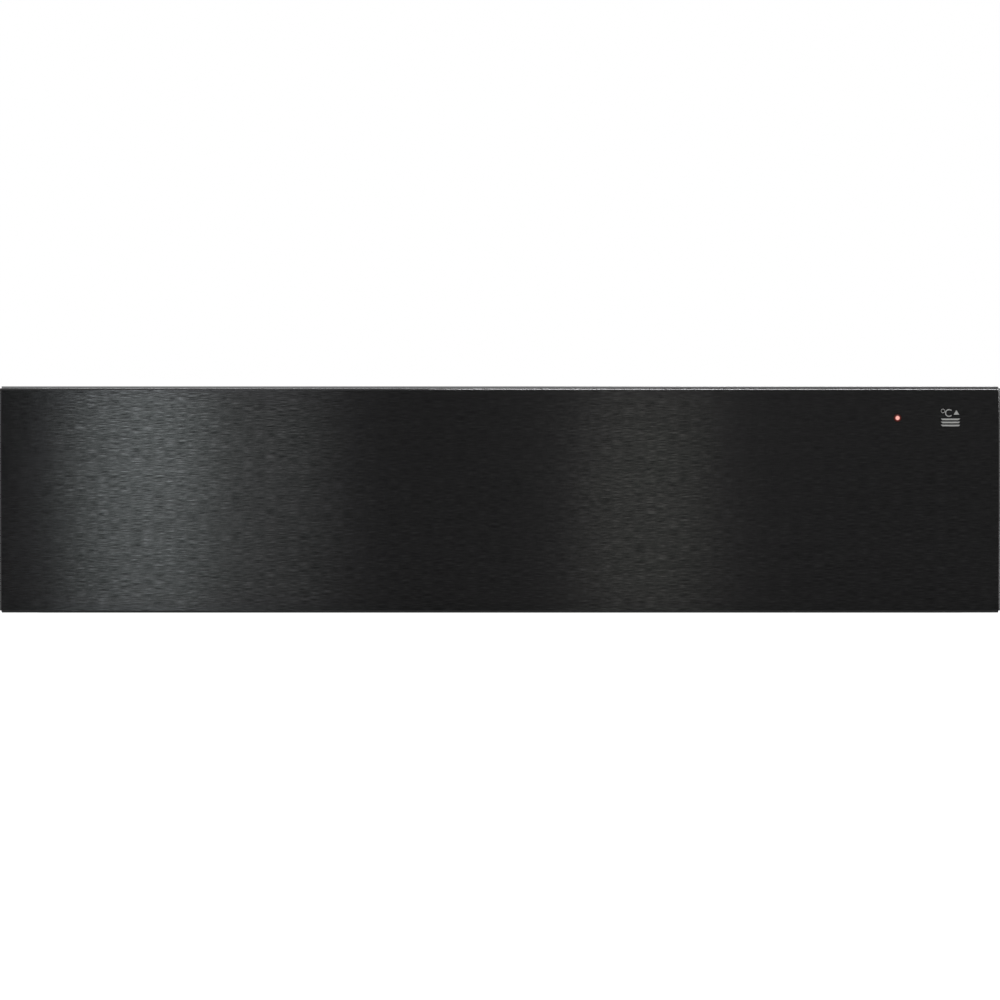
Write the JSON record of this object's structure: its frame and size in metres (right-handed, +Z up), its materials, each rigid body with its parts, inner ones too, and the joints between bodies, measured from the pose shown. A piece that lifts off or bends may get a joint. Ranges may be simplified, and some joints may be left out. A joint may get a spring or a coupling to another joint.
{
  "type": "built-in warming drawer",
  "caption": "Handleless built-in warming drawer with push latches, full-extension ball slides, fan heater behind a grille, thermostat knob and rocker switch inside.",
  "frame": {"origin": "middle of the bounding box's bottom, on the surface under the housing", "axes": "+X to the right along the front, -Y out of the front the way the drawer opens, +Z up"},
  "size_m": [0.597, 0.548, 0.1355],
  "materials": {
    "black_steel": "brushed black stainless steel",
    "zinc_steel": "galvanised sheet",
    "stainless": "brushed stainless steel",
    "slide_steel": "bright zinc plate",
    "bright_steel": "plain bright steel",
    "element_steel": "heat-darkened steel sheath",
    "iron": "laminated iron",
    "aluminium": "plain aluminium",
    "copper": "copper",
    "mineral_wool": "mineral wool",
    "silicone": "matt silicone",
    "black_plastic": "matt moulded",
    "knob_plastic": "fine satin moulded",
    "white_plastic": "matt moulded",
    "circuit_board": "lacquered board",
    "red_lens": "clear red light pipe"
  },
  "bodies": {
    "housing": {"base_pan": "zinc_steel", "top_cover": "zinc_steel", "rear_panel": "zinc_steel", "front_frame": "zinc_steel", "side_sheet_left": "zinc_steel", "side_sheet_right": "zinc_steel", "cover_screws": "bright_steel", "slide_rivets": "bright_steel", "cable_gland": "black_plastic", "gland_nut": "black_plastic", "terminal_block": "white_plastic", "outer_slide_left": "slide_steel", "outer_slide_right": "slide_steel", "latch_body_left": "black_plastic", "latch_body_right": "black_plastic"},
    "knob": {"thermostat_knob": "knob_plastic", "thermostat_shaft": "bright_steel"},
    "rocker": {"switch_rocker": "knob_plastic"},
    "fan": {"fan_wheel": "aluminium", "fan_shaft": "bright_steel"},
    "middle_slide_left": {"middle_slide_left": "slide_steel"},
    "outer_cage_left": {"outer_ball_cage_left": "bright_steel"},
    "inner_cage_left": {"inner_ball_cage_left": "bright_steel"},
    "plunger_left": {"latch_plunger_left": "white_plastic"},
    "middle_slide_right": {"middle_slide_right": "slide_steel"},
    "outer_cage_right": {"outer_ball_cage_right": "bright_steel"},
    "inner_cage_right": {"inner_ball_cage_right": "bright_steel"},
    "plunger_right": {"latch_plunger_right": "white_plastic"},
    "drawer": {"front_panel": "black_steel", "front_inner_panel": "zinc_steel", "front_insulation": "mineral_wool", "light_lens": "red_lens", "light_holder": "black_plastic", "light_board": "circuit_board", "tray": "stainless", "tray_front_wall": "stainless", "tray_rear_wall": "stainless", "tray_mat": "silicone", "tray_screws": "bright_steel", "front_screws": "bright_steel", "heater_grille": "stainless", "grille_screws": "bright_steel", "heater_box": "zinc_steel", "ring_element": "element_steel", "thermostat_bulb": "copper", "thermal_cutout": "black_plastic", "motor_stack": "iron", "motor_coil": "copper", "motor_front_bracket": "zinc_steel", "motor_rear_bracket": "zinc_steel", "motor_studs": "bright_steel", "console": "black_plastic", "thermostat_body": "white_plastic", "thermostat_nut": "bright_steel", "switch_frame": "black_plastic", "inner_slide_left": "slide_steel", "latch_striker_left": "black_plastic", "inner_slide_right": "slide_steel", "latch_striker_right": "black_plastic"}
  },
  "joints": [
    {"name": "drawer_slide", "type": "slide", "parent": "housing", "child": "drawer", "axis": [0, -1, 0], "range_m": [-0.003, 0.42]},
    {"name": "middle_slide_left_travel", "type": "slide", "parent": "housing", "child": "middle_slide_left", "axis": [0, -1, 0], "range_m": [-0.0015, 0.21]},
    {"name": "outer_cage_left_travel", "type": "slide", "parent": "housing", "child": "outer_cage_left", "axis": [0, -1, 0], "range_m": [-0.00075, 0.105]},
    {"name": "inner_cage_left_travel", "type": "slide", "parent": "housing", "child": "inner_cage_left", "axis": [0, -1, 0], "range_m": [-0.00225, 0.315]},
    {"name": "middle_slide_right_travel", "type": "slide", "parent": "housing", "child": "middle_slide_right", "axis": [0, -1, 0], "range_m": [-0.0015, 0.21]},
    {"name": "outer_cage_right_travel", "type": "slide", "parent": "housing", "child": "outer_cage_right", "axis": [0, -1, 0], "range_m": [-0.00075, 0.105]},
    {"name": "inner_cage_right_travel", "type": "slide", "parent": "housing", "child": "inner_cage_right", "axis": [0, -1, 0], "range_m": [-0.00225, 0.315]},
    {"name": "thermostat_turn", "type": "hinge", "parent": "drawer", "child": "knob", "pos_m": [0.225, -0.2282, 0.104], "axis": [0, 0, -1], "range_deg": [0, 270]},
    {"name": "switch_rock", "type": "hinge", "parent": "drawer", "child": "rocker", "pos_m": [0.165, -0.2282, 0.0971], "axis": [1, 0, 0], "range_deg": [0, 20]},
    {"name": "fan_spin", "type": "hinge", "parent": "drawer", "child": "fan", "pos_m": [0, 0.181, 0.0635], "axis": [0, 1, 0], "continuous": true},
    {"name": "latch_plunger_left_push", "type": "slide", "parent": "housing", "child": "plunger_left", "axis": [0, 1, 0], "range_m": [0, 0.003], "stiffness_N_per_m": 400, "springref_m": -0.002},
    {"name": "latch_plunger_right_push", "type": "slide", "parent": "housing", "child": "plunger_right", "axis": [0, 1, 0], "range_m": [0, 0.003], "stiffness_N_per_m": 400, "springref_m": -0.002}
  ],
  "couplings": [
    {"joint": "middle_slide_left_travel", "follows": "drawer_slide", "ratio": 0.5},
    {"joint": "outer_cage_left_travel", "follows": "drawer_slide", "ratio": 0.25},
    {"joint": "inner_cage_left_travel", "follows": "drawer_slide", "ratio": 0.75},
    {"joint": "middle_slide_right_travel", "follows": "drawer_slide", "ratio": 0.5},
    {"joint": "outer_cage_right_travel", "follows": "drawer_slide", "ratio": 0.25},
    {"joint": "inner_cage_right_travel", "follows": "drawer_slide", "ratio": 0.75}
  ]
}
